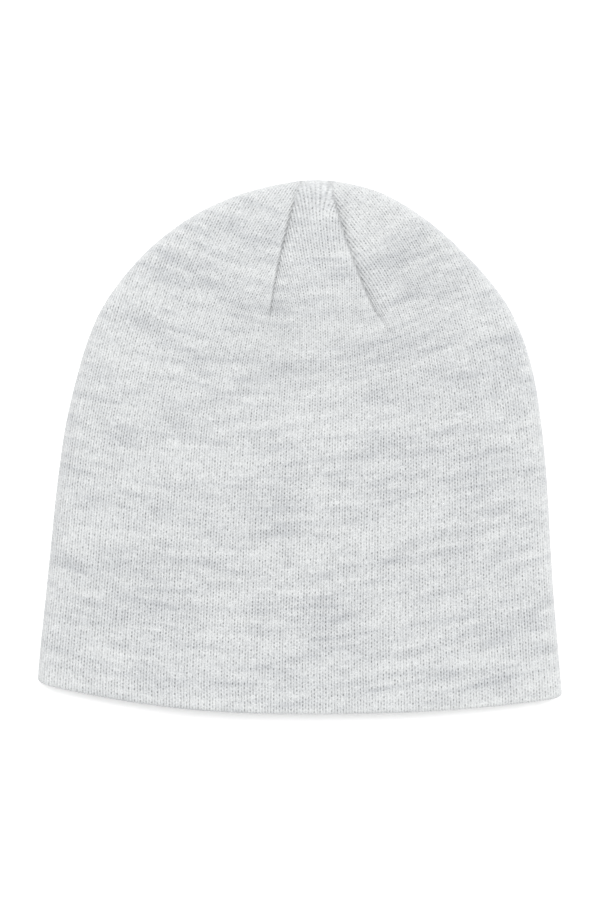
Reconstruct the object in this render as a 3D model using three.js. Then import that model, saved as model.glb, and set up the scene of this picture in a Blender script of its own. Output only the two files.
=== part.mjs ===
// A plain pull-on knit hat that lies flat on its back, as it is laid on a table.
//
// It is one piece: a tube of double knit cloth with no cuff and no rib. The hem is the
// fold between the two layers, and the crown is drawn in by sewn darts, two in front and
// two behind, which show as narrow valleys that run up to the crown.
//
// Units are millimetres. +Z is up from the table, +Y runs from the hem to the crown and
// +X is to the right of someone who looks down at the front. The origin lies on the
// table, under the middle of the hat.
import * as THREE from "three";

// Driving dimensions of the hat.
const LENGTH = 216.5; // from the lowest point of the hem to the crown
const WALL = 3.2; // two layers of knit cloth
const FOLD_HALF = 6.0; // half the height of the soft fold round the sides and the crown
const FOLD_RUN = 7.5; // how far in from the outline that fold reaches its full height
const LOFT = 11.0; // how far the slack front stands above the folds
const LOFT_REACH = 80.0; // how far in from the outline the loft builds up
const HEM_LOFT_SHARE = 0.42; // the share of the loft that is left at the hem
const HEM_LOFT_RUN = 115.0; // how far above the hem the loft is whole
const LIP = 1.3; // how far the rounded lip of the hem stands below its walls
const BACK_HEM_INSET = 2.0; // the hem behind ends this far above the hem in front

// The outline, a row for each station up the sides: up is the height above the hem's
// lowest point, left and right are the distances from the middle.
const OUTLINE = [
  { up: 26.3, left: 105.0, right: 104.4 },
  { up: 46.5, left: 102.9, right: 102.7 },
  { up: 66.8, left: 100.8, right: 101.4 },
  { up: 87.0, left: 98.8, right: 100.3 },
  { up: 103.2, left: 96.8, right: 99.1 },
  { up: 115.3, left: 95.0, right: 97.9 },
  { up: 127.4, left: 92.5, right: 96.3 },
  { up: 139.5, left: 89.4, right: 94.0 },
  { up: 151.7, left: 85.7, right: 90.4 },
  { up: 163.9, left: 80.4, right: 84.9 },
  { up: 174.0, left: 73.8, right: 78.0 },
  { up: 184.1, left: 65.3, right: 69.1 },
  { up: 192.2, left: 56.8, right: 60.9 },
  { up: 200.3, left: 45.8, right: 51.1 },
  { up: 206.8, left: 33.8, right: 41.4 },
  { up: 212.4, left: 18.2, right: 29.7 },
];
const CROWN = { up: LENGTH, x: 6.8 }; // the highest point, a little right of the middle

// The lip of the front hem sags in the middle. On each side it rises as a power of the
// distance from its lowest point, up to the corner where it meets the outline.
const HEM = {
  left: { corner: 106.2, rise: 12.2, power: 2.1 },
  right: { corner: 106.0, rise: 8.3, power: 2.5 },
};

// The sewn darts from the foot, where each one runs out, up to the crown. x is measured
// from the middle and up from the hem's lowest point.
const DARTS = {
  left: [
    { x: -12.0, up: 160.7 },
    { x: -9.0, up: 180.2 },
    { x: -4.4, up: 199.8 },
    { x: 0.0, up: 216.4 },
  ],
  right: [
    { x: 35.8, up: 155.0 },
    { x: 25.9, up: 173.0 },
    { x: 17.9, up: 195.5 },
    { x: 12.4, up: 216.3 },
  ],
};
const DART_DEPTH = 2.0; // how deep the sewn line lies below the cloth beside it
const DART_SHOULDER = 3.6; // about half the width of the valley along a dart
const DART_RAMP = 16.0; // the length over which a dart deepens above its foot
const FOOT_PUFF = 1.5; // the cloth swells a little where a dart runs out
const FOOT_PUFF_RADIUS = 17.0;
const DART_SPREAD = 1.18; // the mesh lines below the feet spread this far by the hem

// Where the mesh lines lie. SIDE_LINES run from a fold to a dart, FRONT_LINES from the
// left dart to the right one, and STATIONS from the hem to the crown.
const SIDE_LINES = [0, 0.006, 0.022, 0.05, 0.09, 0.15, 0.24, 0.35, 0.47, 0.59, 0.7, 0.8, 0.88, 0.94, 0.975];
const FRONT_LINES = [0, 0.06, 0.15, 0.28, 0.42, 0.58, 0.72, 0.85, 0.94];
const STATIONS = [
  0, 0.008, 0.035, 0.08, 0.14, 0.2, 0.26, 0.32, 0.38, 0.44, 0.495, 0.545, 0.59, 0.63, 0.665, 0.7,
  0.735, 0.77, 0.8, 0.828, 0.854, 0.878, 0.9, 0.92, 0.938, 0.953, 0.966, 0.977, 0.986, 0.9925, 0.997,
];
const OUTLINE_STEPS = 360;
const DART_STEPS = 60;

const { clamp, lerp, smoothstep } = THREE.MathUtils;

// A point of the flat plan, with y measured from the middle of the hat.
const planPoint = (x, up) => new THREE.Vector3(x, up - LENGTH / 2, 0);

// One side of the outline, from the hem's corner to the crown. The curve runs on past the
// crown to the other side's last station, so that it arrives at the crown level.
function outlineSide(side, sign) {
  const other = side === "left" ? "right" : "left";
  const last = OUTLINE[OUTLINE.length - 1];
  const points = [
    planPoint(sign * HEM[side].corner, HEM[side].rise + LIP),
    ...OUTLINE.map((row) => planPoint(sign * row[side], row.up)),
    planPoint(CROWN.x, CROWN.up),
    planPoint(-sign * last[other], last.up),
  ];
  const curve = new THREE.CatmullRomCurve3(points, false, "centripetal");
  const crownShare = (points.length - 2) / (points.length - 1);
  const steps = Array.from({ length: OUTLINE_STEPS + 1 }, (_, i) =>
    curve.getPoint((crownShare * i) / OUTLINE_STEPS),
  );
  return new THREE.CatmullRomCurve3(steps);
}
const sides = { left: outlineSide("left", -1), right: outlineSide("right", 1) };

// The whole outline as short straight lines, up the left side and down the right one. It
// is carried on below the hem, so that the hem itself is not taken for a fold.
const outline = (() => {
  const up = sides.left.points;
  const down = sides.right.points.slice(0, -1).reverse();
  const below = (corner) => corner.clone().setY(corner.y - LENGTH);
  return [below(up[0]), ...up, ...down, below(down[down.length - 1])];
})();

// The nearest point of a row of straight lines, its distance, and the direction that
// points inward there when the lines run clockwise round the hat.
function nearest(lines, p) {
  const segment = new THREE.Line3();
  const candidate = new THREE.Vector3();
  const found = { distance: Infinity, foot: new THREE.Vector3(), inward: new THREE.Vector3() };
  for (let i = 0; i + 1 < lines.length; i++) {
    segment.set(lines[i], lines[i + 1]).closestPointToPoint(p, true, candidate);
    const distance = candidate.distanceTo(p);
    if (distance < found.distance) {
      found.distance = distance;
      found.foot.copy(candidate);
      segment.delta(candidate);
      found.inward.set(candidate.y, -candidate.x, 0).normalize();
    }
  }
  return found;
}

const dartLines = Object.values(DARTS).map((rows) => {
  const points = rows.map((row) => planPoint(row.x, row.up));
  return new THREE.CatmullRomCurve3(points, false, "centripetal").getPoints(DART_STEPS);
});

// Where a dart lies at height y. Below its foot the line spreads on down to the hem.
function dartX(lines, y) {
  const foot = lines[0];
  if (y <= foot.y) return foot.x * lerp(1, DART_SPREAD, (foot.y - y) / LENGTH);
  const i = lines.findIndex((p) => p.y >= y);
  if (i < 0) return lines[lines.length - 1].x;
  return lerp(lines[i - 1].x, lines[i].x, (y - lines[i - 1].y) / (lines[i].y - lines[i - 1].y));
}

// How much the front hem rises above its lowest point at x.
function hemRise(x) {
  const { corner, rise, power } = x < 0 ? HEM.left : HEM.right;
  return rise * (Math.abs(x) / corner) ** power;
}

// How far the darts draw the cloth in, and how far it swells at their feet.
function dartRelief(p) {
  let height = 0;
  for (const lines of dartLines) {
    const { distance, foot } = nearest(lines, p);
    const depth = DART_DEPTH * smoothstep(foot.distanceTo(lines[0]), 0, DART_RAMP);
    height -= depth * Math.exp(-distance / DART_SHOULDER);
    height += FOOT_PUFF * Math.exp(-((p.distanceTo(lines[0]) / FOOT_PUFF_RADIUS) ** 2));
  }
  return height;
}

// How far the slack front stands above the folds.
function loft(p, distance) {
  const across = 1 - (1 - Math.min(distance / LOFT_REACH, 1)) ** 2;
  const along = smoothstep(p.y + LENGTH / 2, 0, HEM_LOFT_RUN);
  return LOFT * across * lerp(HEM_LOFT_SHARE, 1, along);
}

// The outer and the inner surface of the cloth at a point of the plan. face is 1 for the
// front, on top, and -1 for the back, on the table. The fold's section is an ellipse.
function clothAt(p, face) {
  const { distance, inward } = nearest(outline, p);
  const run = Math.min(distance / FOLD_RUN, 1);
  const rise = Math.sqrt(1 - (1 - run) ** 2);
  const relief = rise * dartRelief(p);
  const lift = face > 0 ? loft(p, distance) + relief : Math.max(-relief, 0);
  const outer = p.clone().setZ(FOLD_HALF + face * FOLD_HALF * rise + lift);
  const inner = p.clone().addScaledVector(inward, WALL * (1 - run));
  inner.z = FOLD_HALF + face * (FOLD_HALF - WALL) * rise + lift;
  return { outer, inner };
}

// The plan's points across one station: left side, front between the darts, right side.
function pointsAcross(t) {
  const left = sides.left.getPoint(t);
  const right = sides.right.getPoint(t);
  const level = lerp(left.y, right.y, 0.5);
  const [leftDart, rightDart] = dartLines.map((lines) => {
    return clamp(dartX(lines, level), lerp(left.x, right.x, 0.25), lerp(left.x, right.x, 0.75));
  });
  const xs = [
    ...SIDE_LINES.map((share) => lerp(left.x, leftDart, share)),
    ...FRONT_LINES.map((share) => lerp(leftDart, rightDart, share)),
    rightDart,
    ...SIDE_LINES.map((share) => lerp(right.x, rightDart, share)).reverse(),
  ];
  const settle = 1 - smoothstep(t, 0, 0.62);
  return xs.map((x) => {
    const share = (x - left.x) / (right.x - left.x);
    const sag = lerp(HEM.left.rise, HEM.right.rise, share) - hemRise(x);
    return new THREE.Vector3(x, lerp(left.y, right.y, share) - sag * settle, 0);
  });
}

// One course of cloth right round the hat, over the front and back behind it.
function course(t) {
  const across = pointsAcross(t);
  const last = across.length - 1;
  const inset = BACK_HEM_INSET * (1 - smoothstep(t, 0, 0.3));
  const front = across.map((p) => clothAt(p, 1));
  const back = across.slice(1, last).map((p, i) => {
    const fromFold = Math.min(1, 4 * Math.sin((Math.PI * (i + 1)) / last));
    return clothAt(p.clone().setY(p.y + inset * fromFold), -1);
  });
  return [...front, ...back.reverse()];
}

// The rounded lip of the hem, midway between the two surfaces and a little lower.
function lip(places) {
  return places.map(({ outer, inner }) => {
    const middle = outer.clone().lerp(inner, 0.5);
    return middle.setY(middle.y - LIP);
  });
}

// Joins the courses into one closed shell: down the inside from the crown, round the lip
// of the hem and up the outside to the crown again.
function knitShell() {
  const courses = STATIONS.map(course);
  const inside = courses.map((places) => places.map((place) => place.inner)).reverse();
  const outside = courses.map((places) => places.map((place) => place.outer));
  const rings = [...inside, lip(courses[0]), ...outside];
  const around = rings[0].length;
  const vertices = rings.flat();
  const crown = planPoint(CROWN.x, CROWN.up).setZ(FOLD_HALF);
  const innerCrown = vertices.push(crown.clone().setY(crown.y - WALL)) - 1;
  const outerCrown = vertices.push(crown) - 1;
  const lastRing = (rings.length - 1) * around;
  const faces = [];
  for (let k = 0; k < around; k++) {
    const next = (k + 1) % around;
    for (let i = 0; i < lastRing; i += around) {
      faces.push(i + k, i + next, i + around + next);
      faces.push(i + k, i + around + next, i + around + k);
    }
    faces.push(innerCrown, next, k);
    faces.push(outerCrown, lastRing + k, lastRing + next);
  }
  const geometry = new THREE.BufferGeometry().setFromPoints(vertices);
  geometry.setIndex(faces);
  geometry.computeVertexNormals();
  return geometry;
}

const paleGreyKnit = new THREE.MeshStandardMaterial({ color: 0xdfe2e1, roughness: 0.95, metalness: 0 });
const shell = new THREE.Mesh(knitShell(), paleGreyKnit);
shell.name = "knit_shell";

const hat = new THREE.Group();
hat.add(shell);
export default hat;
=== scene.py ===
"""Looks of a plain knit hat that lies flat on its back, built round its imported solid."""
from functools import lru_cache
from math import hypot, pi, radians, sqrt, tan

import bpy
import numpy as np
from bpy.props import FloatProperty, FloatVectorProperty, IntProperty, PointerProperty
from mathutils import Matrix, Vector
from mathutils.kdtree import KDTree


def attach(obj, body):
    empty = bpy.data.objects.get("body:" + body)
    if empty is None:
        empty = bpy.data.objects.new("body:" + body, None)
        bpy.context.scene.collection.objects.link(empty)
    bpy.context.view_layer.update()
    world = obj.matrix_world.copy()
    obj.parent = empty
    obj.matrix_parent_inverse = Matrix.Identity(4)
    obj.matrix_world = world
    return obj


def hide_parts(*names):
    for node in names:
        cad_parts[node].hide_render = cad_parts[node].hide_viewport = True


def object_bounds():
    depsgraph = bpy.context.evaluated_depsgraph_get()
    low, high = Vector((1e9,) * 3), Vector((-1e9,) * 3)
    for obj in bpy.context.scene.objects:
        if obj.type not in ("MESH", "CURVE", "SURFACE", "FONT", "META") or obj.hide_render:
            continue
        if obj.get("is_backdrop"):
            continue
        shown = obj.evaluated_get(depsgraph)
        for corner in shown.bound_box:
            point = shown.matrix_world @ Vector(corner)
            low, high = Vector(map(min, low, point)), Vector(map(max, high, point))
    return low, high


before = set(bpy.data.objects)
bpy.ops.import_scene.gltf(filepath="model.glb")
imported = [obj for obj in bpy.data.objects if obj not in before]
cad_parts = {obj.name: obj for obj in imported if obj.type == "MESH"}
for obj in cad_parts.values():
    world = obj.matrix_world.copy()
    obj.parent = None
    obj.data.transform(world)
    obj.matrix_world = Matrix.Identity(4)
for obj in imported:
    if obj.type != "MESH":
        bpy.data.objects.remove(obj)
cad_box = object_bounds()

bl_info = {
    "name": "Flat Laid Knit Hat",
    "version": (1, 0, 0),
    "blender": (4, 5, 0),
    "location": "View3D > Sidebar > Knit Hat",
    "description": "Builds a fine knit pull-on hat, stitch by stitch, as it lies on a table",
    "category": "Object",
}

NODE = "knit_shell"
MM = 0.001

# The hat's plan and section in millimetres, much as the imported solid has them. up is the
# height above the hem's lowest point and x runs to the right from the middle.
LENGTH = 216.5
WALL = 3.2
LIP_RADIUS = WALL / 2
FOLD_HALF = 6.0
FOLD_RUN = 7.5
LOFT = 11.0
LOFT_REACH = 80.0
HEM_LOFT_SHARE = 0.42
HEM_LOFT_RUN = 115.0
BACK_HEM_INSET, BACK_HEM_INSET_RUN = 2.0, 60.0
INSET_OFF_FOLD = 4.0
# How far the outline reaches: up, to the left and to the right.
OUTLINE = [
    (26.3, 105.0, 104.4), (46.5, 102.9, 102.7), (66.8, 100.8, 101.4), (87.0, 98.8, 100.3),
    (103.2, 96.8, 99.1), (115.3, 95.0, 97.9), (127.4, 92.5, 96.3), (139.5, 89.4, 94.0),
    (151.7, 85.7, 90.4), (163.9, 80.4, 84.9), (174.0, 73.8, 78.0), (184.1, 65.3, 69.1),
    (192.2, 56.8, 60.9), (200.3, 45.8, 51.1), (206.8, 33.8, 41.4), (212.4, 18.2, 29.7),
]
CROWN = {"up": LENGTH, "x": 6.8}

# The hem's corners, and its lip, which is set a little off the solid's so that a camera 1 m
# above sees it in the real one's place.
HEM = {
    "left": {"corner": 106.2, "rise": 12.2, "lip_rise": 12.1, "lip_power": 2.1},
    "right": {"corner": 106.0, "rise": 8.3, "lip_rise": 6.2, "lip_power": 2.5},
}
LIP_UP = 1.35

# The two darts. line is the solid's, in x and up, with one more point near the right one's
# foot. The seam lies `shift` to its right, is a crease up to sewn_from, and its edge takes
# roll_ramp to roll down in full. wedge is what it takes out of the cloth, in degrees. The
# wales of its left and right bank turn by bank_turn more, and follow it as far off as `hold`.
# Its crease gets painted shade, less at the crown's top, with painted shade over its right
# bank and a painted shadow in a pocket at each end.
DARTS = {
    "left": {
        "line": [(-12.0, 160.7), (-9.0, 180.2), (-4.4, 199.8), (0.0, 216.4)],
        "shift": 0.0, "sewn_from": 160.7, "roll_ramp": 2.0,
        "wedge": 28.0, "bank_turn": (3.4, -20.0), "hold": (3.0, 3.0),
        "line_at_top": 0.4, "painted_bank_shade": {"share": 0.45, "reach": 1.6, "ramp": 0.8},
        "pocket_shadows": [
            {"x": -11.3, "up": 163.4, "reach": 2.1, "share": 0.75},
            {"x": 0.1, "up": 215.2, "reach": 1.6, "share": 0.6},
        ],
    },
    "right": {
        "line": [(35.8, 155.0), (30.9, 162.2), (25.9, 173.0), (17.9, 195.5), (12.4, 216.3)],
        "shift": -0.7, "sewn_from": 162.2, "roll_ramp": 18.0,
        "wedge": 44.0, "bank_turn": (0.0, 6.0), "hold": (3.0, 8.0),
        "line_at_top": 0.75, "painted_bank_shade": {"share": 0.65, "reach": 2.7, "ramp": 14.0},
        "pocket_shadows": [
            {"x": 35.1, "up": 155.8, "reach": 2.2, "share": 0.4},
            {"x": 12.3, "up": 214.0, "reach": 1.3, "share": 0.95},
        ],
    },
}
# How far the painted shade along a seam's line reaches, and how much of a pocket's painted shadow
# falls on the left bank.
SEAM_LINE_REACH = 0.55
POCKET_SHADOW_ON_LEFT = 0.4
DART_RAMP = 16.0
FOOT_PUFF = 1.5
FOOT_PUFF_RADIUS = 17.0

# Each dart is pressed so that its left bank rolls over its right one. A bank falls by `fall`
# within about `reach` of the seam, and its edge rolls down in a quarter round. Then it goes on
# for `tuck` past the seam, ever lower, and `steep` is that slope. The left bank's edge is worn
# smooth, and the darts get shallow near the crown's top.
DART_BANKS = {
    "left": {"fall": 0.4, "reach": 3.0, "roll": 0.8, "tuck": 0.35, "steep": 3.2},
    "right": {"fall": 2.3, "reach": 3.2, "roll": 0.3, "tuck": 1.0, "steep": 0.5},
}
TUCK_RAMP = 6.0
CREASE_BLEND = (2.0, 0.4)
BANKS_PART_OVER = 8.0
DART_TOP = {"from": 203.0, "full": 212.0, "relief": 0.35}
# The worn edge has less stitch relief, and so also less painted hollow shade, which leaves it
# lighter.
WORN_EDGE = {"reach": 1.3, "share": 0.6, "ramp": 8.0, "from": 200.0, "full": 186.0}

# The parts of the plan that the darts' relief and their painted shade can reach.
RELIEF_AREA = {"up": 120.0, "left": -60.0, "right": 85.0}
SHADE_AREA = {"up": 140.0, "left": -40.0, "right": 60.0}

# How the wales run, in degrees to the right. Each dart's wedge turns them round its foot, and
# more in its banks than further off. The front panel fans out at the top, and the side folds
# turn them a little too.
BANK_TURN_FULL, BANK_TURN_REACH = 120.0, 25.0
FOOT_EASE, FOOT_EASE_ENDS = 6.0, (-1.0, 4.0)
PLAIN_SIZE_AT = 90.0
PANEL_TURN = (0.0, -8.5, -3.7)
PANEL_TURN_RUN = 29.0
SEAM_HOLD_RAMP = 8.0
INTO_SEAM = 0.03
TOP_FAN = 18.0
TOP_FAN_FROM, TOP_FAN_FULL = 188.0, 211.0
SIDE_TURN = (-5.0, 4.2)
SIDE_TURN_REACH = 15.0
SIDE_TURN_FROM, SIDE_TURN_FULL = 90.0, 150.0
DRAPE = (1.0, 0.76)
TURN_FROM, TURN_FULL = 88.0, 168.0
SIDE_SEAM_FOOT = 118.0

# Near the top of the right dart a pinch pulls the front's last wales over into the seam.
PINCH = {"x": 13.5, "up": 206.0, "reach": 4.2, "turn": 27.0}

# Right of the middle the courses climb more steeply than the hem, which is folded a little
# askew to them, and they climb most below the right dart. slope is in degrees.
COURSE_CLIMB = [
    {"x": 42.0, "reach": 38.0, "slope": 7.8, "height": 1.5, "up": 100.0, "tall": 1e6},
    {"x": 27.0, "reach": 25.0, "slope": 8.5, "height": 1.3, "up": 152.0, "tall": 24.0},
]

# The cloth's soft waves, and how stitches stray, which none does on the folds and the hem:
# the sizes of their noise and where it starts.
WAVES = [
    {"share": 1.0, "across": 31.0, "up": 24.0, "start": (7.3, 0.0)},
    {"share": 0.5, "across": 14.0, "up": 12.0, "start": (20.1, 9.0)},
]
STRAY_ACROSS = {"wale": 0.31, "course": 0.22, "start": 0.0}
STRAY_UP = {"wale": 0.23, "course": 0.37, "start": 31.0}
STRAY_FREE = {"off_fold": 12.0, "off_hem": 8.0}

# Where the stitches are calmer and their painted hollow shade fainter, which leaves the cloth
# lighter: at the side folds, on the hem's roll and at the crown's top.
FOLD_SETTLE = radians(15.0)
FOLD_SPOTS, FOLD_SPOTS_RUN = 0.25, 3.2
HEM_CALM = {"relief": 0.75, "from": 0.5, "full": 4.0}
CROWN_CALM = {"x": 6.5, "up": 215.5, "reach": 7.0, "hollow_shade": 0.55, "relief": 0.25}

# The second layer starts this far in from the hem, and this far in it is free of the first.
INNER_FROM, INNER_FREE = 4.5, 20.0

# One stitch, in shares of a wale across and of a course up. Its two legs lean outward and
# reach from one course past the next.
LEG_REACH = 2.05
LEG_FOOT, LEG_HEAD = 0.10, 0.39
LEG_HALF, LEG_ROUND = 0.155, 0.9
LEG_CROWN, LEG_DIP = 0.8, 0.9
LOOP_FROM, LOOP_BEHIND = 0.25, 0.55
STITCH_MEAN = 0.1

# Painted shade in the knit's hollows: the eye between a stitch's legs, and the gap beside its
# wale. rest is how much painted shade the column keeps between two spots. Some are darker by
# chance, and all in a grey streak.
EYE = {
    "phase": 0.74, "half_wide": 0.15, "half_tall": 0.34, "rest": 0.22,
    "chance": 0.8, "in_grey": 0.7, "least": -0.05,
}
GAP = {
    "phase": 0.30, "half_wide": 0.12, "half_tall": 0.45, "rest": 0.48,
    "chance": 0.9, "in_grey": 0.5, "least": -0.1,
}

# The melange: how strongly each kind of grey shows. A cloud and a strand are so many streaks
# long. wale and course say where their noise starts, and for fibre and fuzz how fine it is.
MELANGE = {
    "streak": 0.70, "cloud": 0.52, "strand": 0.25, "fibre": 0.9, "leg": 0.1,
    "middle": 0.53, "power": 1.8,
}
CLOUD = {"long": 3.2, "tall": 4.0, "wale": 77.0, "course": 5.5}
STRAND = {"long": 0.5, "wale": 7.0, "course_step": 3.7}
FIBRE = {"wale": 5.0, "course": 2.8}
FUZZ = {"wale": 17.0, "course": 8.0}
BUMP = {"strength": 0.6, "height": 0.35, "yarn": 0.55, "yarn_floor": -0.6, "fuzz": 0.35}

TABLE_HALF, TABLE_WHITE = 8.0, 0.96
FRAME_MIDDLE_Y = -1.0
BAKE_MARGIN = 0.01


SMALL_LENGTH = {"unit": "LENGTH", "subtype": "DISTANCE", "precision": 5}
FACTOR = {"min": 0.0, "max": 1.0, "subtype": "FACTOR"}
COLOUR = {"kind": FloatVectorProperty, "size": 4, "min": 0.0, "max": 1.0, "subtype": "COLOR"}
ANGLE = {"unit": "ROTATION", "subtype": "ANGLE"}


def prop(name, description, default, kind=FloatProperty, **more):
    """A property of a group, with its name, its description and its default."""
    return kind(name=name, description=description, default=default, **more)


class HatCloth(bpy.types.PropertyGroup):
    """Sizes of the knit cloth."""

    wales: prop("Wales", "Columns of stitches across the front", 94, IntProperty, min=20)
    course: prop("Course", "Height of one row of stitches", 1.5 * MM, **SMALL_LENGTH)
    relief: prop("Stitch relief", "Radius of the yarn that stands out", 0.38 * MM, **SMALL_LENGTH)
    unevenness: prop(
        "Unevenness", "How far stitches stray from their even places", 0.1 * MM, **SMALL_LENGTH
    )
    slack: prop("Slack", "Height of the cloth's soft waves", 0.35 * MM, **SMALL_LENGTH)


class HatYarn(bpy.types.PropertyGroup):
    """Colours, painted shades and finish of the melange yarn."""

    pale: prop("Pale fibre", "Colour of the pale fibre", (0.700, 0.711, 0.710, 1.0), **COLOUR)
    grey: prop("Grey fibre", "Colour of the grey streaks", (0.454, 0.469, 0.490, 1.0), **COLOUR)
    streak_wales: prop("Streak length", "Length of a grey streak, in wales", 9.4, min=1.0)
    streak_courses: prop("Streak height", "Height of a grey streak, in courses", 2.5, min=0.5)
    # How strong the painted shade is in the eyes and gaps between the stitches.
    eye_shade: prop("Eye shade", "Darkness of the eye between a stitch's legs", 0.68, **FACTOR)
    gap_shade: prop("Gap shade", "Darkness of the gap between two wales", 0.50, **FACTOR)
    # How strong the painted shade is along the darts' creases, over their right banks and in their
    # pockets.
    painted_seam_shade: prop("Seam shade", "Darkness of the pressed seam along a dart", 0.24, **FACTOR)
    roughness: prop("Roughness", "Roughness of the yarn", 0.92, **FACTOR)
    sheen: prop("Sheen", "Light that the loose fibres catch", 0.42, **FACTOR)


class HatStudio(bpy.types.PropertyGroup):
    """The table, the light and the camera straight above."""

    frame_height: prop(
        "Frame height", "Height of the picture at the hat's outline", 364.1 * MM, **SMALL_LENGTH
    )
    lens: prop("Lens", "Focal length", 100.0, unit="CAMERA", min=10.0)
    sky: prop("Sky", "Strength of the light from all round", 0.61, min=0.0)
    lamp: prop("Lamp", "Strength of the broad lamp", 2.43, min=0.0)
    table_glow: prop("Table glow", "Light that comes up through the white table", 0.2, min=0.0)
    lamp_spread: prop("Lamp spread", "How broad the lamp looks", radians(34.0), **ANGLE)
    lamp_towards_crown: prop("Lamp to the crown", "Lean of the lamp", radians(17.5), **ANGLE)
    lamp_towards_right: prop("Lamp to the right", "Lean of the lamp", radians(6.0), **ANGLE)


def settings():
    """The scene's property groups: cloth, yarn and studio."""
    scene = bpy.context.scene
    return scene.hat_cloth, scene.hat_yarn, scene.hat_studio


def lerp(a, b, share):
    return a + (b - a) * share


def share_of(x):
    return np.clip(x, 0.0, 1.0)


def smoothstep(x, low, high):
    t = share_of((x - low) / (high - low))
    return t * t * (3.0 - 2.0 * t)


def bell(away, reach):
    return np.exp(-((away / reach) ** 2))


def around(spot, x, up):
    """1 at a named spot of the plan, and ever less away from it."""
    return bell(np.hypot(x - spot["x"], up - spot["up"]), spot["reach"])


def catmull_rom(points, steps):
    """A smooth centripetal curve through plan points, with `steps` samples to each span."""
    p = np.asarray(points, float)
    p = np.vstack([2 * p[0] - p[1], p, 2 * p[-1] - p[-2]])
    u = np.linspace(0.0, 1.0, steps, endpoint=False)[:, None]
    samples = []
    for a, b, c, d in zip(p, p[1:], p[2:], p[3:]):
        k0, k1, k2 = (sqrt(np.linalg.norm(q - r)) for q, r in ((b, a), (c, b), (d, c)))
        leave = ((b - a) / k0 - (c - a) / (k0 + k1) + (c - b) / k1) * k1
        arrive = ((c - b) / k1 - (d - b) / (k1 + k2) + (d - c) / k2) * k1
        cubic = 2 * b - 2 * c + leave + arrive
        square = -3 * b + 3 * c - 2 * leave - arrive
        samples.append(((cubic * u + square) * u + leave) * u + b)
    samples.append(p[-2][None, :])
    return np.vstack(samples)


def even_steps(points, step):
    """The same line again, with samples an even distance apart."""
    along = np.concatenate([[0.0], np.cumsum(np.linalg.norm(np.diff(points, axis=0), axis=1))])
    wanted = np.linspace(0.0, along[-1], int(round(along[-1] / step)) + 1)
    return np.column_stack([np.interp(wanted, along, points[:, k]) for k in (0, 1)])


class Fold:
    """The quarter ellipse of cloth round the sides and the crown, flat and rolled up."""

    SAMPLES = 400

    def __init__(self):
        turn = np.linspace(0.0, pi / 2, self.SAMPLES)
        run, rise = FOLD_RUN * (1 - np.cos(turn)), FOLD_HALF * np.sin(turn)
        self.turns = turn
        self.lengths = np.concatenate([[0.0], np.cumsum(np.hypot(np.diff(run), np.diff(rise)))])
        self.length = self.lengths[-1]
        self.spare = self.length - FOLD_RUN

    def turn_at(self, unrolled):
        """How far round the fold the cloth has turned at a distance along it."""
        return np.interp(unrolled, self.lengths, self.turns)

    def rise_at(self, depth):
        """How far the fold has risen, from 0 to 1, at a distance in from the outline."""
        return np.sqrt(1.0 - (1.0 - share_of(depth / FOLD_RUN)) ** 2)


class Outline:
    """The hat's outline seen from above, pushed out so that the fold lies unrolled."""

    STEP = 0.2
    BELOW = 40.0
    SMOOTH_OVER = 12

    def __init__(self, fold):
        left = [(-HEM["left"]["corner"], HEM["left"]["rise"])]
        left += [(-left_x, up) for up, left_x, right_x in OUTLINE]
        right = [(right_x, up) for up, left_x, right_x in reversed(OUTLINE)]
        right += [(HEM["right"]["corner"], HEM["right"]["rise"])]
        curve = catmull_rom([*left, (CROWN["x"], CROWN["up"]), *right], steps=40)
        below = (0.0, self.BELOW)
        curve = np.vstack([[curve[0] - below], curve, [curve[-1] - below]])
        self.real = even_steps(curve, self.STEP)
        padded = np.pad(np.gradient(self.real, axis=0), ((self.SMOOTH_OVER,) * 2, (0, 0)), "edge")
        samples = 2 * self.SMOOTH_OVER + 1
        smooth = np.ones(samples) / samples
        tangent = np.column_stack([np.convolve(padded[:, k], smooth, "valid") for k in (0, 1)])
        self.tangent = tangent / np.linalg.norm(tangent, axis=1)[:, None]
        self.inward = np.column_stack([self.tangent[:, 1], -self.tangent[:, 0]])
        self.flat = self.real - fold.spare * self.inward
        self.tree = KDTree(len(self.flat))
        for i, (x, up) in enumerate(self.flat):
            self.tree.insert((x, up, 0.0), i)
        self.tree.balance()
        crown = int(np.argmax(self.flat[:, 1]))
        self.sides = {"left": self.flat[: crown + 1], "right": self.flat[crown:][::-1]}

    def nearest(self, x, up):
        """Distance inward from the unrolled outline, and the number of its nearest sample."""
        index = np.fromiter(
            (self.tree.find((a, b, 0.0))[1] for a, b in zip(x.tolist(), up.tolist())), int, len(x)
        )
        apart = np.column_stack([x, up]) - self.flat[index]
        return np.einsum("ij,ij->i", apart, self.inward[index]), index

    def side_x(self, side, up):
        line = self.sides[side]
        return np.interp(up, line[:, 1], line[:, 0])

    def side_lean(self, side, up):
        """How much a side runs to the right for each step up."""
        return (self.side_x(side, up + 2.0) - self.side_x(side, up - 2.0)) / 4.0


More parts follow.
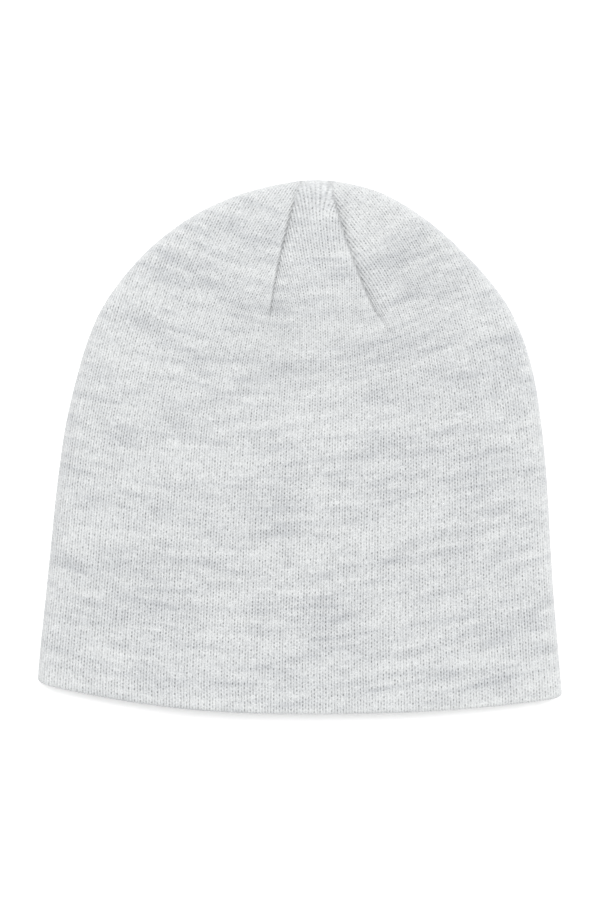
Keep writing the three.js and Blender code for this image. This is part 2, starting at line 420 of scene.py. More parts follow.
class Dart:
    """One sewn dart: its line in the plan and what it does to the cloth round it."""

    BEYOND = 12.0
    WRAPPED = 0.6

    def __init__(self, sizes):
        self.sizes = sizes
        line = [(x + sizes["shift"], up) for x, up in sizes["line"]]
        line = even_steps(catmull_rom(line, steps=20), step=1.0)
        self.line = np.vstack([line, line[-1] + (line[-1] - line[-2]) * self.BEYOND])
        self.start = line[0]
        self.foot = np.array([self.x_at(sizes["sewn_from"]), sizes["sewn_from"]])
        self.wedge = radians(sizes["wedge"])
        self.bank_turn = [radians(turn) for turn in sizes["bank_turn"]]

    def x_at(self, up):
        return np.interp(up, self.line[:, 1], self.line[:, 0])

    def lean_at(self, up):
        return np.arctan((self.x_at(up + 1.0) - self.x_at(up - 1.0)) / 2.0)

    def turn(self, x, up, beside):
        """Angle round the foot from straight below it, positive on the left. beside is 1 for
        cloth on the left of the dart and -1 for cloth on its right."""
        angle = np.arctan2(self.foot[0] - x, self.foot[1] - up)
        wrapped = (beside * angle < -self.WRAPPED * pi) & (up > self.foot[1])
        return np.where(wrapped, angle + 2 * pi * beside, angle)

    def edge_x(self, up, beside):
        """Where the cloth on one side ends, tucked a little way past the sewn line."""
        tuck = np.where(beside > 0, *(bank["tuck"] for bank in DART_BANKS.values()))
        tuck = tuck * smoothstep(up, self.foot[1], self.foot[1] + TUCK_RAMP)
        return self.x_at(up) + beside * tuck

    def nearest(self, x, up):
        """Distance to the sewn line, and how far up the line that point lies."""
        best = np.full(len(x), 1e9)
        along = np.zeros(len(x))
        run = 0.0
        for a, b in zip(self.line, self.line[1:]):
            span = b - a
            length = hypot(*span)
            share = share_of(((x - a[0]) * span[0] + (up - a[1]) * span[1]) / length**2)
            apart = np.hypot(x - a[0] - share * span[0], up - a[1] - share * span[1])
            nearer = apart < best
            best = np.where(nearer, apart, best)
            along = np.where(nearer, run + share * length, along)
            run += length
        return best, along


FOLD = Fold()
PLAN = Outline(FOLD)
LEFT_DART, RIGHT_DART = BOTH_DARTS = Dart(DARTS["left"]), Dart(DARTS["right"])


def hem_up(x):
    """How much the hem's lip lies above the solid's lowest point."""
    rises = [h["lip_rise"] * (np.abs(x) / h["corner"]) ** h["lip_power"] for h in HEM.values()]
    return LIP_UP + np.where(x < 0, *rises)


def wale_lean(x, up, panel):
    """The angle from straight up at which the wales run, and the size that stitches keep
    there. panel is 0, 1 or 2 for left, front and right."""
    slope = [PLAN.side_lean(side, up) * DRAPE[k] for k, side in enumerate(("left", "right"))]
    left, right = PLAN.side_x("left", up), PLAN.side_x("right", up)
    drape = np.arctan(lerp(*slope, share_of((x - left) / np.maximum(right - left, 1.0))))
    turned = np.zeros_like(x)
    size = np.zeros_like(x)
    for number, dart in enumerate(BOTH_DARTS):
        beside = np.where(panel <= number, 1.0, -1.0)
        angle = dart.turn(x, up, beside)
        away = np.hypot(x - dart.foot[0], up - dart.foot[1])
        eased = np.hypot(away, FOOT_EASE)
        above = smoothstep(up, *(dart.foot[1] + end for end in FOOT_EASE_ENDS))
        ease = lerp((away / eased) ** 2, 1.0, above)
        bank = np.where(angle > 0, *dart.bank_turn)
        bank = bank * share_of(np.abs(angle) / radians(BANK_TURN_FULL))
        bank = bank * np.exp(-away / BANK_TURN_REACH)
        turned += ease * (dart.wedge * angle / (2 * pi) + bank)
        size += dart.wedge / (2 * pi) * np.log(eased / PLAIN_SIZE_AT)
    foot = LEFT_DART.foot[1]
    turned += np.radians(np.choose(panel, PANEL_TURN)) * smoothstep(up, foot, foot + PANEL_TURN_RUN)
    low, high = (dart.x_at(up) for dart in BOTH_DARTS)
    fan = share_of((x - low) / (high - low)) - 0.5
    fan = fan * radians(TOP_FAN) * smoothstep(up, TOP_FAN_FROM, TOP_FAN_FULL)
    pinch = radians(PINCH["turn"]) * around(PINCH, x, up)
    turned += np.where(panel == 1, fan + pinch, 0.0)
    for number, dart in enumerate(BOTH_DARTS):
        beside = np.where(panel <= number, 1.0, -1.0)
        away = np.maximum(-beside * (x - dart.x_at(up)), 0.0)
        along_seam = beside * np.maximum(beside * turned, beside * dart.lean_at(up) + INTO_SEAM)
        close = bell(away, np.where(beside > 0, *dart.sizes["hold"]))
        close = close * smoothstep(up, dart.foot[1] - SEAM_HOLD_RAMP, dart.foot[1])
        turned = lerp(turned, along_seam, close)
    taken = smoothstep(up, TURN_FROM, TURN_FULL)
    edge = np.minimum(x - left, right - x) * np.cos(np.arctan(np.where(x < 0, *slope)))
    side = np.radians(np.where(x < 0, *SIDE_TURN))
    side = side * np.exp(-np.clip(edge, 0.0, None) / SIDE_TURN_REACH)
    side = side * smoothstep(up, SIDE_TURN_FROM, SIDE_TURN_FULL)
    return lerp(drape, turned, taken) + side, np.exp(size * taken)


class Net:
    """The cloth as a net of points along its wales and courses, unrolled in the plan. A wale
    ends at the outline, where its last point is repeated. One that runs into a dart goes on up
    the seam, marked as sewn."""

    MOST_COURSES = 215
    PANELS_SETTLE = 6.0

    def __init__(self, wales, course, across, up):
        self.up = up
        self.wale = np.arange(wales * across + 1) / across
        self.step = course / up
        self.lead = LIP_RADIUS * (pi / 2 - 1)
        corners = -HEM["left"]["corner"] - FOLD.spare, HEM["right"]["corner"] + FOLD.spare
        x = lerp(*corners, self.wale / wales)
        place = np.column_stack([x, hem_up(x) - self.lead])
        alive = np.ones(len(x), bool)
        seam = np.full(len(x), -1)
        last = np.zeros(len(x), int)
        rows, sewn = [place.copy()], [seam >= 0]
        depth = PLAN.nearest(*place.T)[0]
        panel = self.panel_of(place, None)
        for row in range(1, self.MOST_COURSES * up):
            middle = place + 0.5 * self.advance(place, panel, seam)
            new = place + self.advance(middle, panel, seam)
            for number, dart in enumerate(BOTH_DARTS):
                beside = np.where(panel <= number, 1.0, -1.0)
                over = alive & (seam < 0) & (new[:, 1] > dart.foot[1])
                over &= beside * (new[:, 0] - dart.edge_x(new[:, 1], beside)) > 0
                seam = np.where(over, number, seam)
                held = seam == number
                new[held, 0] = dart.edge_x(new[held, 1], beside[held])
            fresh, index = PLAN.nearest(*new.T)
            low = new[:, 1] < SIDE_SEAM_FOOT
            outside = low & (fresh < 0.0)
            outside[[0, -1]] |= low[[0, -1]]
            new[outside] -= (fresh[:, None] * PLAN.inward[index])[outside]
            fresh[outside] = 0.0
            ends = alive & ~low & (fresh < 0.0)
            share = np.ones(len(x))
            share[ends] = share_of(depth[ends] / np.maximum(depth[ends] - fresh[ends], 1e-9))
            place = np.where(alive[:, None], place + (new - place) * share[:, None], place)
            last = np.where(alive, row, last)
            alive &= ~ends
            depth = np.where(alive, fresh, depth)
            open_yet = place[:, 1] < LEFT_DART.foot[1] + self.PANELS_SETTLE
            panel = np.where(open_yet, self.panel_of(place, panel), panel)
            rows.append(place.copy())
            sewn.append(seam >= 0)
            if not alive.any():
                break
        self.place, self.sewn = np.array(rows), np.array(sewn)
        self.last, self.panel = last, panel

    def panel_of(self, place, before):
        """Which panel a point lies in, or heads for while it is below the feet."""
        x, up = place.T
        now = sum((x > dart.x_at(up)).astype(int) for dart in BOTH_DARTS)
        if before is None:
            return now
        left = np.where(up > LEFT_DART.foot[1], before, now) == 0
        right = np.where(up > RIGHT_DART.foot[1], before, now) == 2
        return np.where(right, 2, np.where(left, 0, 1))

    def advance(self, place, panel, seam):
        lean, size = wale_lean(*place.T, panel)
        for number, dart in enumerate(BOTH_DARTS):
            lean = np.where(seam == number, dart.lean_at(place[:, 1]), lean)
        return (self.step * size)[:, None] * np.column_stack([np.sin(lean), np.cos(lean)])


@lru_cache(maxsize=None)
def cloth_net(wales, course, across, up):
    return Net(wales, course, across, up)


def course_drift(x, up):
    """How many courses to add to the net's own rows, so that the courses run askew."""
    drift = np.zeros_like(x)
    for climb in COURSE_CLIMB:
        rise = tan(radians(climb["slope"])) / climb["height"] * climb["reach"]
        across = np.tanh((x - climb["x"]) / climb["reach"])
        drift -= rise * across * bell(up - climb["up"], climb["tall"])
    return drift


class SoftNoise:
    """A smooth random field on the plane, the same each time for the same seed."""

    def __init__(self, seed, size=64):
        self.values = np.random.default_rng(seed).uniform(-1.0, 1.0, (size, size))
        self.size = size

    def __call__(self, x, y):
        i, j = np.floor(x).astype(int), np.floor(y).astype(int)
        u, v = x - i, y - j
        u, v = u * u * (3 - 2 * u), v * v * (3 - 2 * v)
        n = self.size
        corner = lambda a, b: self.values[(i + a) % n, (j + b) % n]
        return lerp(lerp(corner(0, 0), corner(1, 0), u), lerp(corner(0, 1), corner(1, 1), u), v)


def within(area, x, up):
    return (up > area["up"]) & (x > area["left"]) & (x < area["right"])


def dart_relief(x, up, panel):
    """Height that the darts and the puffs at their feet add. panel says on which side of a
    dart a point belongs, also where its cloth is tucked under the other side."""
    relief = np.zeros_like(x)
    for number, dart in enumerate(BOTH_DARTS):
        apart, along = dart.nearest(x, up)
        beside = np.where(panel <= number, 1.0, -1.0)
        past = x - dart.x_at(up)
        sewn = up > dart.foot[1]
        tucked = (beside * past > 0) & sewn
        blend = lerp(*CREASE_BLEND, smoothstep(up, dart.start[1] - 1.0, dart.foot[1]))
        joined = smoothstep(np.where(tucked, 0.0, past), -blend, blend)
        parted = smoothstep(up, dart.foot[1], dart.foot[1] + BANKS_PART_OVER)
        to_right = lerp(joined, (beside < 0).astype(float), parted)
        bank = {key: lerp(DART_BANKS["left"][key], DART_BANKS["right"][key], to_right)
                for key in ("fall", "reach", "roll", "steep")}
        fall = bank["fall"] * smoothstep(along, 0.0, DART_RAMP) * np.exp(-apart / bank["reach"])
        inside = share_of(1.0 - apart / bank["roll"])
        roll = bank["roll"] * (1.0 - np.sqrt(1.0 - inside**2))
        roll = np.where(tucked, bank["roll"] + bank["steep"] * apart, roll)
        roll *= smoothstep(along, 0.0, dart.sizes["roll_ramp"])
        deep = lerp(1.0, DART_TOP["relief"], smoothstep(up, DART_TOP["from"], DART_TOP["full"]))
        to_foot = np.hypot(x - dart.start[0], up - dart.start[1])
        relief += FOOT_PUFF * bell(to_foot, FOOT_PUFF_RADIUS) - (fall + roll) * deep
    return relief


def lift(x, up, panel, depth, face, slack):
    """Height of the cloth over its plain fold: the loft, the darts and the soft waves."""
    rise = FOLD.rise_at(depth)
    near = within(RELIEF_AREA, x, up)
    relief = np.zeros_like(x)
    relief[near] = dart_relief(x[near], up[near], panel[near])
    wave = slack * sum(
        w["share"] * SOFT_WAVE(x / w["across"] + w["start"][0], up / w["up"] + w["start"][1])
        for w in WAVES
    )
    if face < 0:
        return rise * np.maximum(-relief, 0.0)
    across = 1.0 - (1.0 - share_of(depth / LOFT_REACH)) ** 2
    along = smoothstep(up, 0.0, HEM_LOFT_RUN)
    return LOFT * across * lerp(HEM_LOFT_SHARE, 1.0, along) + rise * (relief + wave)


SOFT_WAVE = SoftNoise(11)
STRAY = SoftNoise(23)


def strayed(wale, course, size):
    return STRAY(wale * size["wale"] + size["start"], course * size["course"])


class Surface:
    """The cloth over the net, for the front (1) or back (-1)."""

    def __init__(self, net, face, slack, stray, inside_rows):
        self.net, self.face = net, face
        signed = np.arange(-inside_rows, len(net.place))
        grid = net.place[np.abs(signed)]
        columns = grid.shape[1]
        self.signed, self.columns = signed, columns
        spread = lambda values: np.broadcast_to(values, (len(signed), columns)).ravel()
        x, up = grid[..., 0].ravel(), grid[..., 1].ravel()
        wale = spread(net.wale)
        course = spread((signed / net.up)[:, None]) + course_drift(x, up)
        self.wale, self.course = wale, course
        self.flat_x = x
        self.run = run = spread((signed * net.step)[:, None])
        self.flat_up = up + np.where(run < 0, 2 * run, 0.0)
        near = np.abs(run) < LIP_RADIUS * pi / 2
        bend = np.clip(run / LIP_RADIUS, -pi / 2, pi / 2)
        rolled = LIP_RADIUS * (1 - np.cos(bend)) + net.lead - np.abs(run)
        up = up + np.where(near, rolled, 0.0)
        off_fold = np.sin(pi * wale / net.wale[-1])
        if face < 0:
            inset = BACK_HEM_INSET * share_of(INSET_OFF_FOLD * off_fold)
            up = up + inset * (1.0 - smoothstep(up, 0.0, BACK_HEM_INSET_RUN))
        free = share_of(off_fold * STRAY_FREE["off_fold"])
        free = free * smoothstep(np.abs(run), 0.0, STRAY_FREE["off_hem"])
        x = x + stray * free * strayed(wale, course, STRAY_ACROSS)
        up = up + stray * free * strayed(wale, course, STRAY_UP)
        flat_depth, index = PLAN.nearest(x, up)
        flat_depth = np.maximum(flat_depth, 0.0)
        turn = FOLD.turn_at(flat_depth)
        round_fold = flat_depth < FOLD.length
        depth = np.where(round_fold, FOLD_RUN * (1 - np.cos(turn)), flat_depth - FOLD.spare)
        inward, tangent = PLAN.inward[index], PLAN.tangent[index]
        along = np.einsum("ij,ij->i", np.column_stack([x, up]) - PLAN.flat[index], tangent)
        plan = PLAN.real[index] + along[:, None] * tangent + depth[:, None] * inward
        self.depth, self.bend = depth, bend
        panel = spread(net.panel)
        high = lift(*plan.T, panel, depth, face, slack)
        nudge = 0.05
        slope = []
        for k in (0, 1):
            shifted = plan.copy()
            shifted[:, k] += nudge
            deeper = depth + nudge * inward[:, k]
            higher = lift(*shifted.T, panel, deeper, face, slack)
            slope.append((higher - high) / nudge)
        ellipse = FOLD_HALF * np.cos(turn), FOLD_RUN * np.sin(turn)
        level = [-ellipse[0] * inward[:, k] - face * ellipse[1] * slope[k] for k in (0, 1)]
        normal = np.column_stack([*level, face * ellipse[1]])
        self.normal = normal / np.linalg.norm(normal, axis=1)[:, None]
        self.plan, self.turn, self.inward, self.high = plan, turn, inward, high
        self.outer = self.layer(0.0)

    def layer(self, sunk):
        """The points of the layer that lies so deep in the cloth."""
        z = FOLD_HALF + self.face * (FOLD_HALF - sunk) * np.sin(self.turn) + self.high
        x, y = (self.plan + (sunk * np.cos(self.turn))[:, None] * self.inward).T
        return np.column_stack([x, y - LENGTH / 2, z])

    def rolled(self):
        """The points once the hem is rolled inward, and the way out of the cloth there."""
        upward = np.array([0.0, 1.0, 0.0]) - self.normal * self.normal[:, 1:2]
        upward /= np.linalg.norm(upward, axis=1)[:, None]
        out = self.normal * np.sin(self.bend)[:, None] - upward * np.cos(self.bend)[:, None]
        return self.outer - self.normal * (LIP_RADIUS * (1 - np.sin(self.bend)))[:, None], out

    def near_darts(self):
        """For each dart the points round it, how far away and how far up its line they lie,
        and whether on its left."""
        near = within(SHADE_AREA, *self.plan.T)
        x, up = self.plan[near].T
        for dart in BOTH_DARTS:
            apart, along = dart.nearest(x, up)
            yield dart, near, up, apart, along, x < dart.x_at(up)

    def relief(self):
        """How far the stitches stand out: less where front and back meet, on the hem's roll, on
        the worn edge of each dart's left bank and at the crown's top."""
        off_hem = smoothstep(self.run, HEM_CALM["from"], HEM_CALM["full"])
        stand = smoothstep(self.turn, 0.0, FOLD_SETTLE) * lerp(HEM_CALM["relief"], 1.0, off_hem)
        for dart, near, up, apart, along, on_left in self.near_darts():
            worn = WORN_EDGE["share"] * bell(apart, WORN_EDGE["reach"]) * on_left
            low = 1.0 - smoothstep(up, WORN_EDGE["full"], WORN_EDGE["from"])
            worn *= smoothstep(along, 0.0, WORN_EDGE["ramp"]) * low
            stand[near] *= 1.0 - worn
        return stand * (1.0 - CROWN_CALM["relief"] * around(CROWN_CALM, *self.plan.T))

    def hollow_shade(self):
        """How strong the painted shade in the hollows between the stitches is: it follows the
        stitches' relief, and is fainter where the front folds round and at the crown's top.
        """
        faintest = FOLD_SPOTS if self.face > 0 else 1.0
        fold = lerp(faintest, 1.0, smoothstep(self.depth, 0.0, FOLD_SPOTS_RUN))
        return self.relief() * fold * (1.0 - CROWN_CALM["hollow_shade"] * around(CROWN_CALM, *self.plan.T))

    def seam(self):
        """How much painted shade a sewn dart lays on the cloth, from 0 to 1."""
        dark = np.zeros(len(self.depth))
        for dart, near, up, apart, along, on_left in self.near_darts():
            beside = dart.sizes["painted_bank_shade"]
            top = smoothstep(up, DART_TOP["from"], DART_TOP["full"])
            bank = beside["share"] * bell(apart, beside["reach"]) * ~on_left
            line = bell(apart, SEAM_LINE_REACH) * lerp(1.0, dart.sizes["line_at_top"], top)
            shade = np.maximum(line, bank * (1.0 - top)) * smoothstep(along, 0.0, beside["ramp"])
            for pocket in dart.sizes["pocket_shadows"]:
                deep = pocket["share"] * around(pocket, *self.plan[near].T)
                shade = np.maximum(shade, np.where(on_left, deep * POCKET_SHADOW_ON_LEFT, deep))
            dark[near] = np.maximum(dark[near], shade)
        return dark


def stitch(wale, course):
    """Height of the yarn in one stitch, in yarn radii."""
    side = np.abs(wale % 1.0 - 0.5)
    phase = course % 1.0
    height = LOOP_BEHIND * smoothstep(side, LOOP_FROM, 0.5) - 1.0
    for n in range(3):
        reach = phase + n
        off = (side - lerp(LEG_FOOT, LEG_HEAD, reach / LEG_REACH)) / LEG_HALF
        leg = LEG_CROWN * (1 - LEG_ROUND * off**2) - LEG_DIP * (2 * reach / LEG_REACH - 1) ** 2
        height = np.maximum(height, np.where(reach <= LEG_REACH, leg, -1.0))
    return height


def vertex_normals(points, faces):
    a, b, c = (points[faces[:, k]] for k in range(3))
    face = np.cross(b - a, c - a)
    total = np.zeros_like(points)
    for k in range(3):
        for axis in range(3):
            total[:, axis] += np.bincount(faces[:, k], face[:, axis], len(points))
    length = np.linalg.norm(total, axis=1)
    return total / np.where(length > 0, length, 1.0)[:, None]


def net_faces(surface, flip):
    """Triangles of the net. Rows past a wale's end fold onto its last point, and nothing
    joins a dart's two banks, or two wales along the same seam."""
    net = surface.net
    rows, columns = len(surface.signed), surface.columns
    end = np.clip(net.last - surface.signed[0], 0, rows - 1)
    index = np.minimum(np.arange(rows)[:, None], end) * columns + np.arange(columns)
    a, b, d, c = index[:-1, :-1], index[:-1, 1:], index[1:, :-1], index[1:, 1:]
    faces = np.stack([a, b, c, a, c, d], axis=-1).reshape(-1, 3)
    column = np.repeat(np.tile(np.arange(columns - 1), rows - 1), 2)
    sewn = net.sewn[np.abs(surface.signed)].ravel()
    feet = np.array([dart.foot[1] for dart in BOTH_DARTS])
    split = net.panel[1:] != net.panel[:-1]
    foot = np.where(split, feet[np.minimum(net.panel[:-1], 1)], 1e9)
    apart = surface.flat_up[faces].min(axis=1) > foot[column]
    whole = (faces != np.roll(faces, 1, axis=1)).all(axis=1)
    kept = whole & ~apart & ~sewn[faces].all(axis=1)
    faces, column = faces[kept], column[kept]
    return (faces[:, ::-1] if flip else faces), column


def placed(name, data):
    """A new object in the scene."""
    made = bpy.data.objects.new(name, data)
    bpy.context.scene.collection.objects.link(made)
    return made


def add_piece(name, surface, points, faces, normals):
    """One mesh piece over a surface, with its two maps and its normals. It also keeps how
    strong its painted hollow shade is and how much painted shade a dart lays on it."""
    used, faces = np.unique(faces, return_inverse=True)
    faces = faces.reshape(-1, 3)
    points, normals = points[used], normals[used]
    knit = np.column_stack([surface.wale, surface.course])[used]
    flat = np.column_stack([surface.flat_x, surface.flat_up])[used]
    mesh = bpy.data.meshes.new(name)
    mesh.vertices.add(len(points))
    mesh.vertices.foreach_set("co", (points * MM).astype(np.float32).ravel())
    mesh.loops.add(faces.size)
    mesh.loops.foreach_set("vertex_index", faces.astype(np.int32).ravel())
    mesh.polygons.add(len(faces))
    mesh.polygons.foreach_set("loop_start", np.arange(0, faces.size, 3, dtype=np.int32))
    mesh.update(calc_edges=True)
    low, high = flat.min(axis=0), flat.max(axis=0)
    bake = BAKE_MARGIN + (1.0 - 2.0 * BAKE_MARGIN) * (flat - low) / (high - low)
    for title, values in (("OFBake", bake), ("knit", knit)):
        layer = mesh.uv_layers.new(name=title)
        layer.data.foreach_set("uv", values[faces.ravel()].astype(np.float32).ravel())
    for title, values in (("hollow_shade", surface.hollow_shade()), ("seam", surface.seam())):
        kept = mesh.attributes.new(title, "FLOAT", "POINT")
        kept.data.foreach_set("value", values[used].astype(np.float32))
    mesh.polygons.foreach_set("use_smooth", np.ones(len(faces), bool))
    mesh.normals_split_custom_set_from_vertices(normals.astype(np.float32))
    mesh.materials.append(melange_knit())
    mesh.validate()
    piece = placed(name, mesh)
    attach(piece, "root")
    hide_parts(NODE)


def outer_cloth(name, face, across, up, pieces):
    """The stitched face of the hat on one side, with the hem rolled in, in several pieces."""
    cloth = settings()[0]
    net = cloth_net(cloth.wales, cloth.course / MM, across, up)
    inside_rows = int(round(INNER_FROM / net.step))
    surface = Surface(net, face, cloth.slack / MM, cloth.unevenness / MM, inside_rows)
    points, out = surface.rolled()
    height = stitch(surface.wale, surface.course) - STITCH_MEAN
    points = points + out * (cloth.relief / MM * height * surface.relief())[:, None]
    faces, column = net_faces(surface, flip=face < 0)
    normals = vertex_normals(points, faces)
    share = np.cumsum(np.bincount(column, minlength=surface.columns)) / len(column)
    borders = [int(np.searchsorted(share, k / pieces)) for k in range(1, pieces)]
    piece_of = np.searchsorted(borders, column, side="left")
    for k in range(pieces):
        add_piece(f"{name}_{k + 1}", surface, points, faces[piece_of == k], normals)


def inner_cloth(name, face, across, up):
    """The cloth's second layer, which lines the hat from the rolled hem up to the crown."""
    cloth = settings()[0]
    net = cloth_net(cloth.wales, cloth.course / MM, across, up)
    surface = Surface(net, face, 0.0, 0.0, 0)
    close = surface.outer - surface.normal * WALL
    free = smoothstep(surface.run, INNER_FROM, INNER_FREE)[:, None]
    points = lerp(close, surface.layer(WALL), free)
    faces = net_faces(surface, flip=face > 0)[0]
    faces = faces[(surface.run[faces] >= INNER_FROM - 1e-6).all(axis=1)]
    add_piece(name, surface, points, faces, vertex_normals(points, faces))


def math_node(operation, reflected=False):
    """A method that adds one Math node and gives back its value."""
    if reflected:
        return lambda self, other: self.shader.math(operation, other, self)
    return lambda self, *others: self.shader.math(operation, self, *others)


class Value:
    """A socket in a shader that can be reckoned with."""

    def __init__(self, shader, socket):
        self.shader, self.socket = shader, socket

    def clamped(self):
        return self.shader.math("ADD", self, 0.0, clamp=True)

    __add__ = __radd__ = math_node("ADD")
    __mul__ = __rmul__ = math_node("MULTIPLY")
    __sub__, __rsub__ = math_node("SUBTRACT"), math_node("SUBTRACT", reflected=True)
    __truediv__, __rtruediv__ = math_node("DIVIDE"), math_node("DIVIDE", reflected=True)
    __pow__, __rpow__ = math_node("POWER"), math_node("POWER", reflected=True)
    __abs__ = math_node("ABSOLUTE")
    fraction = math_node("FRACT")
    whole = math_node("FLOOR")
    most = math_node("MAXIMUM")


class Shader:
    """A material's node tree. node() adds any node and gives back its first output."""

    def __init__(self, name):
        self.material = bpy.data.materials.new(name)
        self.material.use_nodes = True
        self.tree = self.material.node_tree
        self.tree.nodes.clear()

    def node(self, kind, settings=None, sockets=None, output=0):
        made = self.tree.nodes.new(kind)
        for key, value in (settings or {}).items():
            setattr(made, key, value)
        for key, value in (sockets or {}).items():
            if isinstance(value, Value):
                self.tree.links.new(value.socket, made.inputs[key])
            else:
                made.inputs[key].default_value = value
        return Value(self, made.outputs[output])

    def math(self, operation, *values, clamp=False):
        settings = {"operation": operation, "use_clamp": clamp}
        return self.node("ShaderNodeMath", settings, dict(enumerate(values)))

    def mix(self, factor, a, b):
        """A mix of two colours."""
        return self.node("ShaderNodeMix", {"data_type": "RGBA"}, {0: factor, 6: a, 7: b}, output=2)

    def pattern(self, kind, x, y, **sockets):
        """A pattern over the plane of x and y, from 0 to 1, the same each time."""
        place = self.node("ShaderNodeCombineXYZ", None, {0: x, 1: y})
        return self.node(kind, {"noise_dimensions": "2D"}, {"Vector": place, **sockets})

    def noise(self, x, y, detail, roughness=0.5):
        sockets = {"Scale": 1.0, "Detail": detail, "Roughness": roughness}
        return self.pattern("ShaderNodeTexNoise", x, y, **sockets)

    def chance(self, x, y):
        """A number for each pair of whole numbers."""
        return self.pattern("ShaderNodeTexWhiteNoise", x, y)

    def kept(self, title):
        """A number that the mesh keeps at each of its points."""
        return self.node("ShaderNodeAttribute", {"attribute_name": title}, output=2)

    def finish(self, surface):
        output = self.tree.nodes.new("ShaderNodeOutputMaterial")
        self.tree.links.new(surface.socket, output.inputs["Surface"])
        return self.material


def stitch_height(side, phase):
    """Height of the yarn much as stitch() gives it, reckoned in the shader."""
    behind = ((side - LOOP_FROM) * (1 / (0.5 - LOOP_FROM))).clamped()
    height = behind * behind * LOOP_BEHIND - 1.0
    for n in range(2):
        reach = phase + n
        off = (side - (reach * ((LEG_HEAD - LEG_FOOT) / LEG_REACH) + LEG_FOOT)) / LEG_HALF
        from_middle = reach * (2 / LEG_REACH) - 1.0
        leg = (1.0 - off * off * LEG_ROUND) * LEG_CROWN - from_middle * from_middle * LEG_DIP
        height = height.most(leg)
    return height


def spot(across, phase, size):
    """A soft spot of painted hollow shade, 1 in its middle, that lies at a phase of the course in a
    column of fainter painted shade.
    """
    wide = across / size["half_wide"]
    tall = ((phase - size["phase"] + 0.5).fraction() - 0.5) / size["half_tall"]
    along = (1.0 - tall * tall).clamped() * (1.0 - size["rest"]) + size["rest"]
    return (1.0 - wide * wide).clamped() * along


def darkness(chance, greyness, size):
    """How strong the painted shade of one spot is, by chance and by how grey the yarn is there."""
    return (chance * size["chance"] + greyness * size["in_grey"] + size["least"]).clamped()


@lru_cache(maxsize=None)
def melange_knit():
    """Pale grey melange yarn: streaks along the courses, painted shade in the hollows and along the
    darts, and loose fibres.
    """
    yarn = settings()[1]
    shader = Shader("pale_melange_knit")
    knit = shader.node("ShaderNodeUVMap", {"uv_map": "knit"})
    wale = shader.node("ShaderNodeSeparateXYZ", None, {0: knit})
    course = Value(shader, wale.socket.node.outputs[1])
    long, tall = yarn.streak_wales, yarn.streak_courses
    streak = shader.noise(wale / long, course / tall, 2.0, 0.55)
    cloud = shader.noise(
        wale / (long * CLOUD["long"]) + CLOUD["wale"],
        course / (tall * CLOUD["tall"]) + CLOUD["course"],
        1.0,
    )
    strand_at = wale / (long * STRAND["long"]) + STRAND["wale"]
    strand = shader.noise(strand_at, course.whole() * STRAND["course_step"], 1.0)
    blend = (streak - 0.5) * MELANGE["streak"] + (cloud - 0.5) * MELANGE["cloud"]
    greyness = (blend + (strand - 0.5) * MELANGE["strand"] + MELANGE["middle"]).clamped()
    fibre = shader.noise(wale * FIBRE["wale"], course * FIBRE["course"], 0.0)
    greyness = (greyness ** MELANGE["power"] + (fibre - 0.5) * MELANGE["fibre"]).clamped()
    colour = shader.mix(greyness, tuple(yarn.pale), tuple(yarn.grey))
    side = abs(wale.fraction() - 0.5)
    phase = course.fraction()
    height = stitch_height(side, phase)
    # Painted shade: dark spots in the eyes and gaps, where the hollows lie in shade, and along the
    # darts' creases.
    eye_chance = shader.chance(wale.whole(), (course - (EYE["phase"] - 0.5)).whole())
    gap_chance = shader.chance((wale + 0.5).whole(), (course - (GAP["phase"] - 0.5)).whole() + 0.5)
    eye = spot(side, phase, EYE) * darkness(eye_chance, greyness, EYE) * yarn.eye_shade
    gap = spot(0.5 - side, phase, GAP) * darkness(gap_chance, greyness, GAP) * yarn.gap_shade
    shown = shader.kept("hollow_shade")
    light = (1.0 - eye * shown) * (1.0 - gap * shown)
    light = light * (1.0 - shader.kept("seam") * yarn.painted_seam_shade)
    leg_chance = shader.chance((wale * 2.0).whole() + 0.25, (course + side * 0.8).whole() + 0.25)
    light = light * (1.0 - (leg_chance - 0.5) * MELANGE["leg"])
    shaded = shader.node(
        "ShaderNodeVectorMath", {"operation": "SCALE"}, {"Vector": colour, "Scale": light}
    )
    fuzz = shader.noise(wale * FUZZ["wale"], course * FUZZ["course"], 3.0, 0.7)
    relief = height.most(BUMP["yarn_floor"]) * BUMP["yarn"] + fuzz * BUMP["fuzz"]
    bump = shader.node("ShaderNodeBump", None, {
        "Strength": BUMP["strength"],
        "Distance": BUMP["height"] * MM,
        "Height": relief,
    })
    surface = shader.node("ShaderNodeBsdfPrincipled", None, {
        "Base Color": shaded,
        "Roughness": yarn.roughness,
        "Specular IOR Level": 0.15,
        "Sheen Weight": yarn.sheen,
        "Sheen Roughness": 0.45,
        "Normal": bump,
    })
    return shader.finish(surface)


def lit_white(glow):
    """The white table, which also glows softly from below."""
    shader = Shader("white_table")
    surface = shader.node("ShaderNodeBsdfPrincipled", None, {
        "Base Color": (TABLE_WHITE, TABLE_WHITE, TABLE_WHITE, 1.0),
        "Roughness": 0.9,
        "Specular IOR Level": 0.1,
        "Emission Color": (1.0, 1.0, 1.0, 1.0),
        "Emission Strength": glow,
    })
    return shader.finish(surface)


class HAT_OT_front_cloth(bpy.types.Operator):
    """Knit the front of the hat, stitch by stitch"""

    bl_idname = "hat.front_cloth"
    bl_label = "Front Cloth"
    bl_options = {"REGISTER", "UNDO"}

    def execute(self, context):
        outer_cloth("front_cloth", face=1, across=6, up=4, pieces=4)
        return {"FINISHED"}


class HAT_OT_back_cloth(bpy.types.Operator):
    """Knit the back of the hat, which lies on the table"""

    bl_idname = "hat.back_cloth"
    bl_label = "Back Cloth"
    bl_options = {"REGISTER", "UNDO"}

    def execute(self, context):
        outer_cloth("back_cloth", face=-1, across=4, up=2, pieces=2)
        return {"FINISHED"}


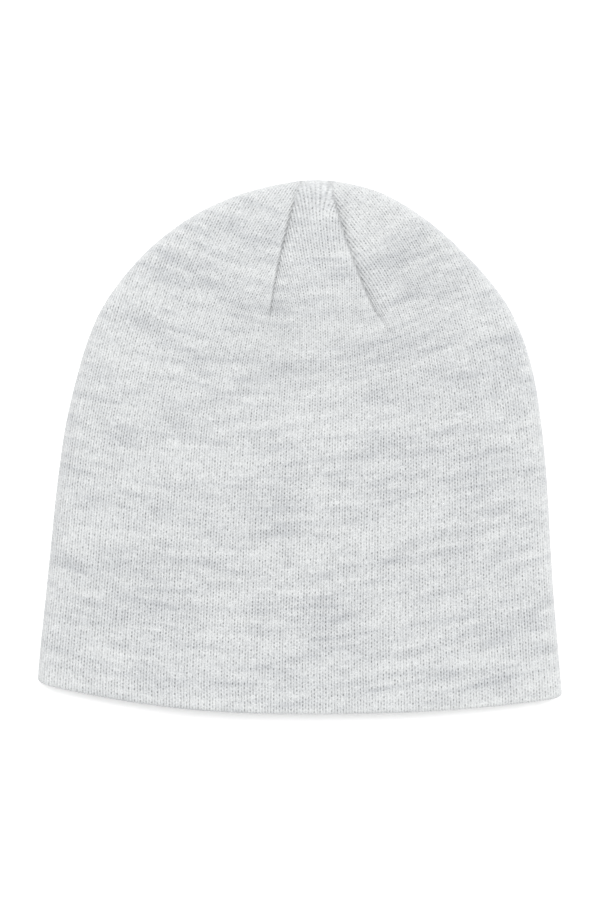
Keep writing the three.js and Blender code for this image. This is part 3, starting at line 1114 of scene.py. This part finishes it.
class HAT_OT_inner_cloth(bpy.types.Operator):
    """Line the hat with the second layer of its cloth"""

    bl_idname = "hat.inner_cloth"
    bl_label = "Inner Cloth"
    bl_options = {"REGISTER", "UNDO"}

    def execute(self, context):
        inner_cloth("inner_front_cloth", face=1, across=2, up=1)
        inner_cloth("inner_back_cloth", face=-1, across=2, up=1)
        return {"FINISHED"}


class HAT_OT_studio(bpy.types.Operator):
    """Set the table, the broad soft light and the camera straight above"""

    bl_idname = "hat.studio"
    bl_label = "Studio"
    bl_options = {"REGISTER", "UNDO"}

    def execute(self, context):
        studio = settings()[2]
        scene = context.scene
        mesh = bpy.data.meshes.new("table")
        corners = [(-1, -1), (1, -1), (1, 1), (-1, 1)]
        corners = [(x * TABLE_HALF, y * TABLE_HALF, 0) for x, y in corners]
        mesh.from_pydata(corners, [], [(0, 1, 2, 3)])
        mesh.materials.append(lit_white(studio.table_glow))
        table = placed("table", mesh)
        table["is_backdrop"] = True
        sky = bpy.data.worlds.new("white_room")
        sky.use_nodes = True
        background = sky.node_tree.nodes["Background"]
        background.inputs["Color"].default_value = (1.0, 1.0, 1.0, 1.0)
        background.inputs["Strength"].default_value = studio.sky
        scene.world = sky
        light = bpy.data.lights.new("broad_lamp", "SUN")
        light.energy = studio.lamp
        light.angle = studio.lamp_spread
        lamp = placed("broad_lamp", light)
        right, crown = tan(studio.lamp_towards_right), tan(studio.lamp_towards_crown)
        towards = Vector((right, crown, 1.0))
        lamp.rotation_mode = "QUATERNION"
        lamp.rotation_quaternion = towards.to_track_quat("Z", "Y")
        data = bpy.data.cameras.new("overhead_camera")
        data.sensor_width = 36.0
        data.lens = studio.lens
        away = studio.frame_height * data.lens / data.sensor_width
        camera = placed("overhead_camera", data)
        camera.location = (0.0, FRAME_MIDDLE_Y * MM, away + FOLD_HALF * MM)
        data.clip_start, data.clip_end = 0.05, 10.0
        scene.camera = camera
        scene.view_settings.view_transform = "Standard"
        return {"FINISHED"}


class HAT_PT_panel(bpy.types.Panel):
    """Buttons and sizes of the knit hat"""

    bl_idname = "HAT_PT_panel"
    bl_label = "Knit Hat"
    bl_space_type = "VIEW_3D"
    bl_region_type = "UI"
    bl_category = "Knit Hat"

    def draw(self, context):
        for group in settings():
            box = self.layout.box()
            for name in group.__annotations__:
                box.prop(group, name)
        for step in STEPS:
            self.layout.operator(step.bl_idname)


GROUPS = {"hat_cloth": HatCloth, "hat_yarn": HatYarn, "hat_studio": HatStudio}
STEPS = (HAT_OT_studio, HAT_OT_front_cloth, HAT_OT_back_cloth, HAT_OT_inner_cloth)
CLASSES = (*GROUPS.values(), *STEPS, HAT_PT_panel)


def register():
    for kind in CLASSES:
        bpy.utils.register_class(kind)
    for name, group in GROUPS.items():
        setattr(bpy.types.Scene, name, PointerProperty(type=group))


def unregister():
    for name in GROUPS:
        delattr(bpy.types.Scene, name)
    for kind in reversed(CLASSES):
        bpy.utils.unregister_class(kind)


def main():
    register()
    for step in STEPS:
        group, name = step.bl_idname.split(".")
        getattr(getattr(bpy.ops, group), name)()
    boxes = {"cad": cad_box, "visual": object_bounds()}
    {name: [list(corner) for corner in box] for name, box in boxes.items()}


if __name__ == "__main__":
    main()
